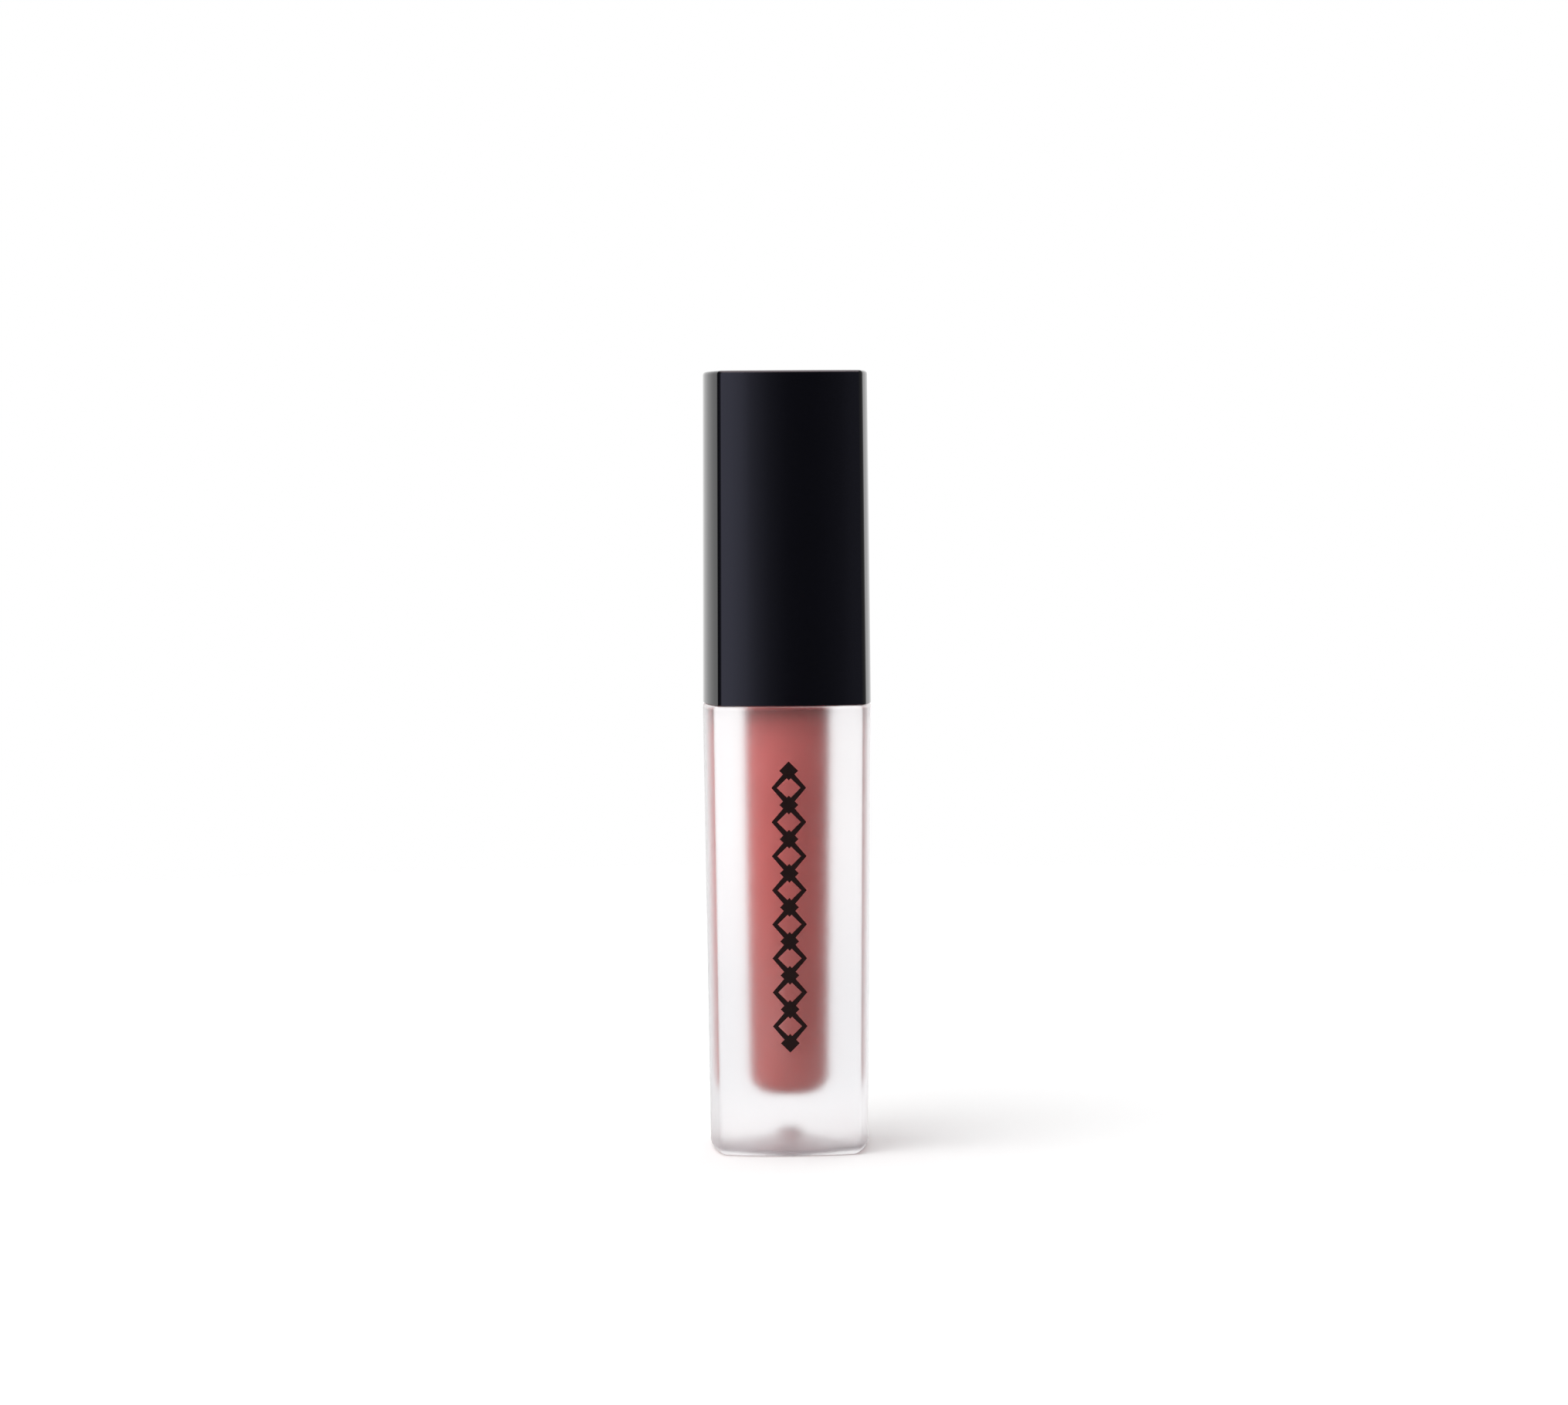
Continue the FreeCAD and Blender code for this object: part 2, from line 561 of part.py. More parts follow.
def make_outer_cap():
    """The glossy soft-square shell, with the ribs that key it to the inner cap."""
    body = new_body("outer_cap", CAP_MOUTH_HEIGHT, DIM["cap_twist"])
    mouth = soft_square(new_sketch(body, "mouth_section", "XY_Plane"), DIM["cap_mouth_width"])
    shell = tapered(body, "shell", mouth, DIM["cap_mouth_width"], DIM["cap_top_width"], DIM["cap_height"])
    shell = round_edges(body, "cap_upright_edges", shell, DIM["cap_edge_radius"], is_upright)
    round_edges(body, "cap_top_edge", shell, DIM["cap_top_radius"], is_level_at(DIM["cap_height"]))
    roof = DIM["cap_height"] - DIM["cap_roof"]
    inside = new_sketch(body, "inside_section", "XY_Plane")
    soft_square(inside, DIM["cap_mouth_width"] - DIM["cap_wall"] * 2)
    tapered(body, "inside", inside, DIM["cap_mouth_width"], DIM["cap_top_width"], roof, "Pocket")

    key_edge = DIM["inner_cap_diameter"] / 2 - DIM["key_slot_depth"] + DIM["rib_clearance"]
    stop = CEILING_HEIGHT + DIM["inner_cap_ceiling"] - CAP_MOUTH_HEIGHT + DIM["rib_clearance"]
    ribs = []
    for side, side_name in KEY_SIDES:
        name = f"rib_{side_name}"
        turn = DIAGONAL + DIM["key_spread"] * side
        sketch = new_sketch(body, name + "_profile", "XZ_Plane", turn=turn, turn_axis=Vector(0, 1, 0))
        outline(sketch, [
            (key_edge, DIM["rib_start"]),
            (DIM["rib_reach"], DIM["rib_start"]),
            (DIM["rib_reach"], roof + DIM["fuse_overlap"]),
            (key_edge - DIM["rib_step"], roof + DIM["fuse_overlap"]),
            (key_edge - DIM["rib_step"], stop),
            (key_edge, stop),
        ])
        ribs.append(pad(body, name, sketch, DIM["rib_width"], midplane=True))
    copies_per_side(body, "ribs", ribs)
    return body


def make_applicator_stem():
    """The stiff rod that hangs from the post, with a blind hole for the tip's peg."""
    body = new_body("applicator_stem", STEM_FOOT_HEIGHT, DIM["cap_twist"])
    length = DIM["stem_drop"] + DIM["stem_head"]
    rod_sketch = circle(new_sketch(body, "rod_section", "XY_Plane"), DIM["stem_diameter"])
    rod = pad(body, "rod", rod_sketch, length)
    rod = round_edges(body, "rod_head", rod, DIM["stem_chamfer"], is_level_at(length), "Chamfer")
    hole = circle(new_sketch(body, "peg_hole_section", "XY_Plane"), DIM["peg_diameter"])
    pad(body, "peg_hole", hole, DIM["peg_length"] + DIM["peg_clearance"], down=True, kind="Pocket")
    return body


def doe_foot(body, name, diameter, length, nose, growth):
    """A round tip hanging below the body's origin, its end cut on a slant."""
    profile = circle(new_sketch(body, name + "_section", "XY_Plane"), diameter)
    rod = pad(body, name + "_rod", profile, length, down=True)
    rod = round_edges(body, name + "_nose", rod, nose, is_level_at(-length))
    slant_top = -length + DIM["slant_height"]
    beyond = diameter / 2 + DIM["cut_margin"]
    below = -length - DIM["cut_margin"]
    slant = outline(new_sketch(body, name + "_slant", "XZ_Plane"), [
        (DIM["slant_start"] + growth, -length),
        (DIM["core_diameter"] / 2 + growth, slant_top),
        (beyond, slant_top),
        (beyond, below),
        (DIM["slant_start"] + growth, below),
    ])
    pad(body, name + "_doe_foot", slant, beyond * 2, midplane=True, kind="Pocket")
    return rod


def make_applicator_core():
    """The tip's core and the peg that plugs it into the stem."""
    body = new_body("applicator_core", STEM_FOOT_HEIGHT, DIM["cap_twist"])
    doe_foot(body, "core", DIM["core_diameter"], DIM["core_length"], DIM["core_nose_radius"], NOTHING)
    peg = circle(new_sketch(body, "peg_section", "XY_Plane"), DIM["peg_diameter"])
    pad(body, "peg", peg, DIM["peg_length"])
    return body


def make_applicator_flock(core):
    """The flocked coat on the tip."""
    coat = new_body("flock_outside", STEM_FOOT_HEIGHT, DIM["cap_twist"])
    thickness = DIM["flock_thickness"]
    doe_foot(coat, "coat", DIM["core_diameter"] + thickness * 2, DIM["core_length"] + thickness,
             DIM["core_nose_radius"] + thickness, thickness)
    flock = doc.addObject("Part::Cut", "applicator_flock")
    flock.Base = coat
    flock.Tool = core
    flock.Label = "applicator_flock"
    return flock


def make_all():
    """Every sub-part, in the order in which it would be put together."""
    core = make_applicator_core()
    return [make_bottle(), make_printed_ornament(), make_gloss_fill(), make_wiper(), make_sealing_washer(),
            make_inner_cap(), make_outer_cap(), make_applicator_stem(), core, make_applicator_flock(core)]


def check_document():
    """Stops if any object of the document has failed."""
    failed = [item.Label for item in doc.Objects if "Invalid" in item.State or "Error" in item.State]
    if failed:
        raise RuntimeError("failed objects: " + ", ".join(failed))


def write_parts(parts):
    """Checks each sub-part's solid and writes it to its own file."""
    os.makedirs("parts", exist_ok=True)
    for part in parts:
        shape = part.Shape
        if shape.isNull() or not shape.isValid() or not shape.Solids:
            raise RuntimeError("bad shape: " + part.Label)
        shape.exportStep(os.path.join("parts", part.Label + ".step"))
        box = shape.BoundBox
        print(f"{part.Label}: {len(shape.Solids)} solid, {shape.Volume:.1f} mm3, "
              f"z {box.ZMin:.2f} to {box.ZMax:.2f}")


PARTS = make_all()
doc.recompute()
check_document()
write_parts(PARTS)
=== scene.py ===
"""Looks of the lip gloss tube: wet gloss in a frosted bottle, a glossy black cap and its applicator."""
import bmesh
import bpy
import math
import random
from mathutils import Matrix, Vector
from mathutils import noise as soft_noise


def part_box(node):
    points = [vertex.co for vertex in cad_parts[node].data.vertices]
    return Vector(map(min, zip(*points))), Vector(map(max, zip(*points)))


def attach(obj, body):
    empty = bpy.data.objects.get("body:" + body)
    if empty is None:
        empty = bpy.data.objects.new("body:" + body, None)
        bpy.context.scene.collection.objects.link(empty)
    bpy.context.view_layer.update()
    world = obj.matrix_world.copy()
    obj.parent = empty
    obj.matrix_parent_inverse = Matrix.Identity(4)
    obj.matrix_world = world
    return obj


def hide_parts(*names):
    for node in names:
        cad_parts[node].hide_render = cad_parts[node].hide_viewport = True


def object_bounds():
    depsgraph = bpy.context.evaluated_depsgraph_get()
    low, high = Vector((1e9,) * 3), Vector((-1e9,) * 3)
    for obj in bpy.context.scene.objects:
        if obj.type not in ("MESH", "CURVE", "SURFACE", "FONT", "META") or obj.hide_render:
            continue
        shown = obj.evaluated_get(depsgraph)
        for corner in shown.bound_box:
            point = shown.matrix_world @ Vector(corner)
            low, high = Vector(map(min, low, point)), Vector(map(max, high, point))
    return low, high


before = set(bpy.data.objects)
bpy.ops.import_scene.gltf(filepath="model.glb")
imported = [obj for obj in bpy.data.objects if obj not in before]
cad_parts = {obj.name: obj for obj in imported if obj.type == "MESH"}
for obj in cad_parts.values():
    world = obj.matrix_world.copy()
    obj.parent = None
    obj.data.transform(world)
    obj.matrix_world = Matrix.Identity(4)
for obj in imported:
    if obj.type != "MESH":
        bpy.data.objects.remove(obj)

CAD_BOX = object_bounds()
MM = 0.001


# Node helpers ------------------------------------------------------------------------------------

def new_material(name):
    """A node material, its tree and its Principled shader."""
    material = bpy.data.materials.new(name)
    material.use_nodes = True
    tree = material.node_tree
    return material, tree, tree.nodes["Principled BSDF"]


def node(tree, kind, inputs=(), **settings):
    """A node with its settings, its plain inputs by name, and its links where a value is a socket."""
    made = tree.nodes.new(kind)
    for name, value in settings.items():
        setattr(made, name, value)
    for name, value in dict(inputs).items():
        if isinstance(value, bpy.types.NodeSocket):
            tree.links.new(value, made.inputs[name])
        else:
            made.inputs[name].default_value = value
    return made


def object_point(tree):
    """The shaded point in the frame, in metres."""
    return node(tree, "ShaderNodeTexCoord").outputs["Object"]


def noise(tree, scale, detail=2.0, roughness=0.5, stretch=None):
    """A noise value over the object's own coordinates, about 0.5."""
    point = object_point(tree)
    if stretch:
        point = node(tree, "ShaderNodeMapping", {"Vector": point, "Scale": stretch}).outputs["Vector"]
    made = node(tree, "ShaderNodeTexNoise", {"Vector": point, "Scale": scale, "Detail": detail,
                                             "Roughness": roughness})
    return made.outputs["Fac"]


def remap(tree, value, low, high, to_low, to_high):
    """The value's stretch from low to high, carried over to another stretch and clamped."""
    made = node(tree, "ShaderNodeMapRange", {"Value": value, "From Min": low, "From Max": high,
                                             "To Min": to_low, "To Max": to_high})
    return made.outputs["Result"]


def blend_colours(tree, factor, first, second):
    """The first colour turning into the second as the factor rises."""
    made = tree.nodes.new("ShaderNodeMix")
    made.data_type = "RGBA"
    tree.links.new(factor, made.inputs["Factor"])
    for socket, colour in ((made.inputs[6], first), (made.inputs[7], second)):
        if isinstance(colour, bpy.types.NodeSocket):
            tree.links.new(colour, socket)
        else:
            socket.default_value = (*colour, 1.0)
    return made.outputs[2]


def height_of(tree):
    """The height of the shaded point in the frame, in metres."""
    return node(tree, "ShaderNodeSeparateXYZ", {"Vector": object_point(tree)}).outputs["Z"]


def near_axis(tree, inner, outer):
    """1 within the inner radius about the tube's axis, fading to 0 at the outer one."""
    point = node(tree, "ShaderNodeSeparateXYZ", {"Vector": object_point(tree)})
    flat = node(tree, "ShaderNodeCombineXYZ", {"X": point.outputs["X"], "Y": point.outputs["Y"]})
    radius = node(tree, "ShaderNodeVectorMath", {0: flat.outputs["Vector"]}, operation="LENGTH")
    return remap(tree, radius.outputs["Value"], inner, outer, 1.0, 0.0)


def product(tree, first, second):
    """Two values multiplied."""
    return node(tree, "ShaderNodeMath", {0: first, 1: second}, operation="MULTIPLY").outputs[0]


def rise(tree, value, low, high):
    """0 below the low value, rising to 1 at the high one."""
    return remap(tree, value, low, high, 0.0, 1.0)


def band(tree, value, rising, falling):
    """A value that rises to 1 over the first stretch and falls back to 0 over the second."""
    return product(tree, rise(tree, value, *rising), remap(tree, value, *falling, 1.0, 0.0))


# Materials ---------------------------------------------------------------------------------------

# Where each finish and tone of the bottle fades in or out: the first by radius, the others by height. The
# first two place painted shade on the underside near the axis.
SHADED_UNDERSIDE_EDGE = (7.2 * MM, 7.6 * MM)
SHADED_UNDERSIDE_FADE = (0.5 * MM, 2.9 * MM)
GREYER_FROM = (2 * MM, 7 * MM)
GREYER_TO = (16 * MM, 32 * MM)
SHOULDER_FROM = (45.69 * MM, 45.75 * MM)
SHOULDER_TO = (45.82 * MM, 45.86 * MM)
POLISHED_FROM = (45.73 * MM, 45.79 * MM)


def frosted_plastic():
    """Clear thick plastic with a satin wall that is greyer low down, a milky shoulder, a polished neck
    and painted shade under the base near the axis.
    """
    material, tree, shader = new_material("frosted_clear_plastic")
    height = height_of(tree)
    low = remap(tree, height, *SHADED_UNDERSIDE_FADE, 1.0, 0.1)
    painted_underside_shade = product(tree, near_axis(tree, *SHADED_UNDERSIDE_EDGE), low)
    # The wall's colour is greyer over a band from just above the foot, fading out about two thirds of the
    # way up.
    greyer_band = band(tree, height, GREYER_FROM, GREYER_TO)
    wall = blend_colours(tree, greyer_band, (0.985, 0.975, 0.985), (0.875, 0.875, 0.892))
    # Painted shade: the underside near the axis is greyish mauve and less clear, fading out up the foot.
    colour = blend_colours(tree, painted_underside_shade, wall, (0.56, 0.515, 0.55))
    tree.links.new(colour, shader.inputs["Base Color"])
    shoulder = band(tree, height, SHOULDER_FROM, SHOULDER_TO)
    clear_where_shade_painted = remap(tree, painted_underside_shade, 0.0, 1.0, 1.0, 0.35)
    clear_shoulder = remap(tree, shoulder, 0.0, 1.0, 1.0, 0.4)
    tree.links.new(product(tree, clear_where_shade_painted, clear_shoulder), shader.inputs["Transmission Weight"])
    shader.inputs["IOR"].default_value = 1.5
    satin = remap(tree, noise(tree, 900.0, 3.0), 0.3, 0.7, 0.38, 0.42)
    polished = rise(tree, height, *POLISHED_FROM)
    roughness = node(tree, "ShaderNodeMix", {"Factor": polished, "A": satin, "B": 0.08})
    tree.links.new(roughness.outputs["Result"], shader.inputs["Roughness"])
    return material


WETTING = 0.05 * MM
# The heights over which the gloss turns to its middle tone and to its top tone: painted light, darker low
# down and lighter towards the top, making up for the shade that the cap casts into the top of the gloss.
GLOSS_PAINTED_LIGHT_MIDDLE = (17 * MM, 36 * MM)
GLOSS_PAINTED_LIGHT_TOP = (36 * MM, 43.5 * MM)


def gloss_liquid():
    """Thick, warm pink liquid with painted light, darker low down and lighter towards its top; it shines
    only where it meets the air.
    """
    material, tree, shader = new_material("pink_gloss")
    clouds = rise(tree, noise(tree, 220.0, 2.0, stretch=(1.0, 1.0, 0.25)), 0.35, 0.65)
    height = height_of(tree)
    # Painted light: the three tones run from dark low down to light at the top, in place of the light
    # that the cap keeps off the top of the gloss.
    low = blend_colours(tree, clouds, (0.50, 0.086, 0.077), (0.53, 0.096, 0.087))
    middle = blend_colours(tree, clouds, (0.66, 0.118, 0.110), (0.70, 0.132, 0.123))
    top = blend_colours(tree, clouds, (0.95, 0.20, 0.19), (0.98, 0.22, 0.21))
    body = blend_colours(tree, rise(tree, height, *GLOSS_PAINTED_LIGHT_MIDDLE), low, middle)
    colour = blend_colours(tree, rise(tree, height, *GLOSS_PAINTED_LIGHT_TOP), body, top)
    tree.links.new(colour, shader.inputs["Base Color"])
    shader.inputs["Roughness"].default_value = 0.25
    shader.inputs["Specular IOR Level"].default_value = 0.08
    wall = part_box("gloss_fill")[1].x + WETTING
    inside_wall = near_axis(tree, wall - 0.3 * MM, wall - 0.1 * MM)
    above_floor = rise(tree, height, 5 * MM, 6 * MM)
    tree.links.new(product(tree, inside_wall, above_floor), shader.inputs["Coat Weight"])
    shader.inputs["Coat Roughness"].default_value = 0.05
    return material


def black_gloss():
    """Polished black moulding."""
    material, tree, shader = new_material("polished_black_plastic")
    tint = blend_colours(tree, noise(tree, 120.0), (0.0012, 0.0012, 0.002), (0.0018, 0.0018, 0.003))
    tree.links.new(tint, shader.inputs["Base Color"])
    polish = noise(tree, 400.0, 4.0)
    tree.links.new(remap(tree, polish, 0.3, 0.8, 0.03, 0.06), shader.inputs["Roughness"])
    shader.inputs["IOR"].default_value = 1.52
    return material


def ink():
    """Dense screen ink, faintly uneven."""
    material, tree, shader = new_material("screen_ink")
    patch = noise(tree, 1500.0, 3.0)
    colour = blend_colours(tree, patch, (0.006, 0.0012, 0.001), (0.012, 0.003, 0.0025))
    tree.links.new(colour, shader.inputs["Base Color"])
    tree.links.new(remap(tree, patch, 0.3, 0.7, 0.4, 0.55), shader.inputs["Roughness"])
    shader.inputs["Specular IOR Level"].default_value = 0.12
    return material


STAIN = (0.72, 0.30, 0.28)


def milky_plastic(name, colour, roughness, stain_radius=0.0):
    """Natural unpigmented plastic with faint flow marks, pink with gloss near the axis if wanted."""
    material, tree, shader = new_material(name)
    flow = noise(tree, 260.0, 4.0, stretch=(1.0, 1.0, 0.3))
    darker = tuple(channel * 0.93 for channel in colour)
    tone = blend_colours(tree, flow, darker, colour)
    if stain_radius:
        patchy = remap(tree, noise(tree, 500.0, 3.0), 0.35, 0.6, 0.35, 1.0)
        close = near_axis(tree, stain_radius - 0.5 * MM, stain_radius + 0.3 * MM)
        tone = blend_colours(tree, product(tree, close, patchy), tone, STAIN)
    tree.links.new(tone, shader.inputs["Base Color"])
    uneven = remap(tree, flow, 0.3, 0.7, roughness * 0.85, roughness * 1.15)
    tree.links.new(uneven, shader.inputs["Roughness"])
    shader.inputs["Subsurface Weight"].default_value = 0.3
    shader.inputs["Subsurface Radius"].default_value = (0.6 * MM, 0.55 * MM, 0.5 * MM)
    shader.inputs["Subsurface Scale"].default_value = 1.0
    return material


# Geometry ----------------------------------------------------------------------------------------

def add_mesh(name, vertices, faces, material, smooth=True):
    """A mesh object in the scene."""
    mesh = bpy.data.meshes.new(name)
    mesh.from_pydata(vertices, [], faces)
    mesh.validate()
    if smooth:
        mesh.shade_smooth()
    made = bpy.data.objects.new(name, mesh)
    made.data.materials.append(material)
    bpy.context.scene.collection.objects.link(made)
    return made


def arc(centre, radius, start, end, steps=12):
    """Profile points on a circle about the centre, from one angle to another in degrees."""
    points = []
    for step in range(steps + 1):
        angle = math.radians(start + (end - start) * step / steps)
        points.append((centre[0] + radius * math.cos(angle), centre[1] + radius * math.sin(angle)))
    return points


def wall_between(low, high, around):
    """The faces that join two rings of points, given the first point of each."""
    faces = []
    for step in range(around):
        following = (step + 1) % around
        faces.append((low + step, low + following, high + following, high + step))
    return faces


def turned(name, profile, material, around=128):
    """A solid of revolution about the tube's axis; the profile rises from the axis and ends on it."""
    vertices = [(0.0, 0.0, profile[0][1])]
    for radius, height in profile[1:-1]:
        for step in range(around):
            angle = 2 * math.pi * step / around
            vertices.append((radius * math.cos(angle), radius * math.sin(angle), height))
    vertices.append((0.0, 0.0, profile[-1][1]))
    last = len(vertices) - 1
    top = last - around
    faces = []
    for low in range(1, top, around):
        faces += wall_between(low, low + around, around)
    for step in range(around):
        following = (step + 1) % around
        faces.append((0, 1 + following, 1 + step))
        faces.append((top + step, top + following, last))
    return add_mesh(name, vertices, faces, material)


# Gloss in the bottle -----------------------------------------------------------------------------

FLOOR_ROUND = 2.0 * MM
FOOT_DRAFT = 0.25 * MM
ROOM_RADIUS = 2.1 * MM
ROOM_ROUND = 1.2 * MM
ROOM_ABOVE_FLOOR = 1.77 * MM
CLIMB = 0.35 * MM
MENISCUS_STEPS = 12


def make_gloss():
    """The liquid, just past the reservoir's wall so that it wets it, with the applicator's room."""
    low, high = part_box("gloss_fill")
    floor = low.z - WETTING
    top_radius = high.x + WETTING
    foot_radius = top_radius - FOOT_DRAFT
    room_floor = low.z + ROOM_ABOVE_FLOOR
    profile = [(0.0, floor)]
    profile += arc((foot_radius - FLOOR_ROUND, floor + FLOOR_ROUND), FLOOR_ROUND, -90, 0)
    for step in range(MENISCUS_STEPS + 1):
        across = step / MENISCUS_STEPS
        sag = CLIMB * (1.0 - abs(2.0 * across - 1.0) ** 3)
        profile.append((top_radius + (ROOM_RADIUS - top_radius) * across, high.z - sag))
    profile += arc((ROOM_RADIUS - ROOM_ROUND, room_floor + ROOM_ROUND), ROOM_ROUND, 0, -90)
    profile.append((0.0, room_floor))
    gloss = turned("gloss_liquid", profile, gloss_liquid())
    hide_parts("gloss_fill")
    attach(gloss, "gloss")


# Flocked tip -------------------------------------------------------------------------------------

CAP_TWIST = math.radians(3.3)
TIP_LENGTH = 12.5 * MM
TIP_RADIUS = 2.0 * MM
SLANT_START = 0.8 * MM
SLANT_RUN = 1.2 * MM
SLANT_HEIGHT = 7.0 * MM
FLOCK_DEPTH = 0.24 * MM
BED_NOSE = 1.4 * MM
BED_GRAIN = 0.135 * MM
FIBRE_LENGTH = 0.27 * MM
FIBRE_WIDTH = 0.028 * MM
FIBRE_SIDES = 3
BALD_SHARE = 0.2
DRAW_SEED = 7
# The noise that leans the fibres follows the clock unless it is given a seed.
LEAN_SEED = 1795010582
FACES_UP = 0.7
ROOT_DEPTH = 0.02 * MM
LUMP_SIZE = 0.5 * MM
LUMP_HEIGHT = 0.05 * MM
TUFT_SIZE = 0.35 * MM
DROOP = Vector((0.0, 0.0, -0.25))


def wet_flock():
    """Short nylon fibres soaked with gloss, in damp patches."""
    material, tree, shader = new_material("wet_flock")
    patches = rise(tree, noise(tree, 1400.0, 3.0), 0.35, 0.65)
    colour = blend_colours(tree, patches, (0.64, 0.16, 0.15), (0.84, 0.34, 0.32))
    tree.links.new(colour, shader.inputs["Base Color"])
    tree.links.new(remap(tree, patches, 0.0, 1.0, 0.42, 0.6), shader.inputs["Roughness"])
    shader.inputs["Sheen Weight"].default_value = 0.35
    shader.inputs["Sheen Roughness"].default_value = 0.4
    shader.inputs["Coat Weight"].default_value = 0.3
    shader.inputs["Coat Roughness"].default_value = 0.18
    return material


def make_flock_bed(material):
    """The round-nosed bed of the flock, under the stem's foot and cut on the doe-foot's slant."""
    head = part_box("applicator_stem")[0].z
    end = head - TIP_LENGTH + FLOCK_DEPTH
    radius = TIP_RADIUS - FLOCK_DEPTH
    top = head - ROOT_DEPTH
    profile = [(0.0, end)] + arc((radius - BED_NOSE, end + BED_NOSE), BED_NOSE, -90, 0)
    profile += [(radius, top), (0.0, top)]
    bed = turned("flock", profile, material, around=64)
    form = bmesh.new()
    form.from_mesh(bed.data)
    slope = Vector((SLANT_RUN, 0.0, SLANT_HEIGHT)).normalized()
    outward = Vector((slope.z, 0.0, -slope.x))
    start = Vector((SLANT_START, 0.0, head - TIP_LENGTH)) - outward * FLOCK_DEPTH
    twist = Matrix.Rotation(CAP_TWIST, 3, "Z")
    cut = bmesh.ops.bisect_plane(form, geom=form.verts[:] + form.edges[:] + form.faces[:],
                                 plane_co=twist @ start, plane_no=twist @ outward, clear_outer=True)
    rim = [item for item in cut["geom_cut"] if isinstance(item, bmesh.types.BMEdge)]
    bmesh.ops.holes_fill(form, edges=rim)
    form.to_mesh(bed.data)
    form.free()
    even = bed.modifiers.new("even", "REMESH")
    even.mode = "VOXEL"
    even.voxel_size = BED_GRAIN
    bed.data = bpy.data.meshes.new_from_object(bed.evaluated_get(bpy.context.evaluated_depsgraph_get()))
    bed.modifiers.clear()
    for vertex in bed.data.vertices:
        lump = soft_noise.noise(vertex.co / LUMP_SIZE)
        vertex.co += vertex.normal * (LUMP_HEIGHT * lump)
    return bed


def add_fibre(vertices, faces, root, direction, length):
    """One closed fibre that tapers from its root to a point."""
    side = direction.orthogonal().normalized() * FIBRE_WIDTH
    base = len(vertices)
    point = base + 2 * FIBRE_SIDES
    for corner in range(FIBRE_SIDES):
        spoke = Matrix.Rotation(2 * math.pi * corner / FIBRE_SIDES, 3, direction) @ side
        vertices.append(root + spoke)
        vertices.append(root + direction * (length * 0.6) + spoke * 0.8)
    vertices.append(root + direction * length)
    for corner in range(FIBRE_SIDES):
        low = base + corner * 2
        following = base + (corner + 1) % FIBRE_SIDES * 2
        faces.append((low, following, following + 1, low + 1))
        faces.append((low + 1, following + 1, point))
    faces.append(tuple(range(base, point, 2))[::-1])


def make_flock():
    """The doe-foot's coat: a lumpy bed, with fibres that stand on it in damp tufts."""
    material = wet_flock()
    bed = make_flock_bed(material)
    vertices = [vertex.co.copy() for vertex in bed.data.vertices]
    faces = [tuple(face.vertices) for face in bed.data.polygons]
    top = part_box("applicator_stem")[0].z
    chance = random.Random(DRAW_SEED)
    soft_noise.seed_set(LEAN_SEED)
    for face in bed.data.polygons:
        if face.normal.z > FACES_UP or chance.random() < BALD_SHARE:
            continue
        root = face.center - face.normal * ROOT_DEPTH
        lean = soft_noise.noise_vector(root / TUFT_SIZE) * 0.75
        lean += Vector([chance.uniform(-0.25, 0.25) for _ in range(3)])
        direction = (face.normal + lean + DROOP).normalized()
        length = FIBRE_LENGTH * chance.uniform(0.7, 1.0)
        if (root + direction * length).z < top:
            add_fibre(vertices, faces, root, direction, length)
    grown = bpy.data.meshes.new("flock")
    grown.from_pydata(vertices, [], faces)
    grown.shade_smooth()
    grown.materials.append(material)
    bed.data = grown
    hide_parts("applicator_flock")
    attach(bed, "cap")


# Film on the stem --------------------------------------------------------------------------------

STEM_RADIUS = 1.95 * MM
FILM_SUNK = -0.05 * MM
FILM_THICKEST = 0.1 * MM
FILM_REACH = 21.0 * MM
FILM_OVERHANG = 0.25 * MM
FILM_MEAN = 0.06 * MM
FILM_FADE = 0.12 * MM
# The film's broad streaks, fine lines and beads: waves round it, run along it and depth.
FILM_PATTERN = [(3.0, 8.0 * MM, 0.05 * MM), (9.0, 12.0 * MM, 0.05 * MM), (2.0, 1.6 * MM, 0.03 * MM)]


def wet_film():
    """Gloss in the open air: paler where it is thin, deeper in its streaks, with a wet coat."""
    material, tree, shader = new_material("wet_gloss_film")
    patches = rise(tree, noise(tree, 700.0, 2.0), 0.35, 0.65)
    thick = blend_colours(tree, patches, (0.58, 0.125, 0.118), (0.66, 0.165, 0.155))
    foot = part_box("applicator_stem")[0].z
    above_foot = rise(tree, height_of(tree), foot, foot + 1.0 * MM)
    thin = product(tree, near_axis(tree, STEM_RADIUS, STEM_RADIUS + 0.055 * MM), above_foot)
    tree.links.new(blend_colours(tree, thin, thick, (0.80, 0.53, 0.51)), shader.inputs["Base Color"])
    shader.inputs["Roughness"].default_value = 0.18
    shader.inputs["Coat Weight"].default_value = 0.6
    shader.inputs["Coat Roughness"].default_value = 0.06
    return material


def film_thickness(angle, height, fade):
    """How thick the gloss is on the stem; it parts and thins out as fade goes from 0 to 1."""
    thickness = FILM_MEAN - FILM_FADE * fade ** 1.4
    for waves, run, depth in FILM_PATTERN:
        place = (waves * math.cos(angle), waves * math.sin(angle), height / run)
        thickness += depth * soft_noise.noise(place)
    return max(FILM_SUNK, min(FILM_THICKEST, thickness))


